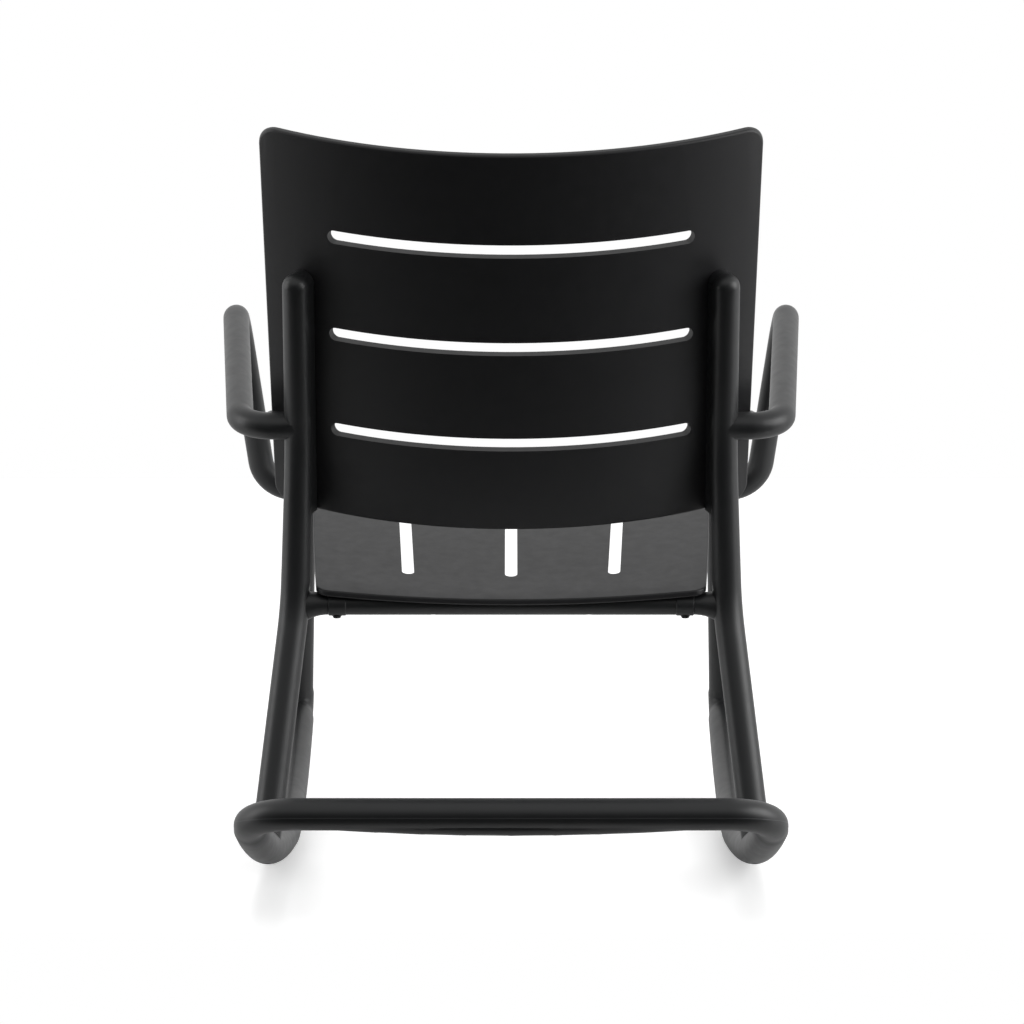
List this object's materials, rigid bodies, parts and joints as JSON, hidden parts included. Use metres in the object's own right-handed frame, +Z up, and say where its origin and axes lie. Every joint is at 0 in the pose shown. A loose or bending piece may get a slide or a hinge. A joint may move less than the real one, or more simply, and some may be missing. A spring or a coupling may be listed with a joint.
{
  "type": "rocking chair",
  "caption": "Moulded plastic rocking chair with a slotted bent back, a dished slotted seat, open looped arms and a one-piece rocking base.",
  "frame": {"origin": "on the floor, under the middle of the chair's bounding box", "axes": "+Z up, the sitter faces -Y, +X toward the sitter's left; the chair is symmetric about X = 0"},
  "size_m": [0.6716, 0.7886, 0.827],
  "materials": {
    "charcoal_plastic": "satin charcoal moulded polypropylene with a fine grain",
    "black_screw_steel": "black coated steel",
    "bright_screw_steel": "bright stainless steel",
    "insert_brass": "turned brass"
  },
  "bodies": {
    "root": {"rocker_base": "charcoal_plastic", "side_frame_left": "charcoal_plastic", "side_frame_right": "charcoal_plastic", "seat_rail_rear": "charcoal_plastic", "seat_rail_front": "charcoal_plastic", "seat_panel": "charcoal_plastic", "back_panel": "charcoal_plastic", "rail_screws": "black_screw_steel", "seat_screws": "bright_screw_steel", "back_screws": "bright_screw_steel", "back_screw_caps": "charcoal_plastic", "leg_bolts": "black_screw_steel", "leg_inserts": "insert_brass"}
  },
  "joints": []
}
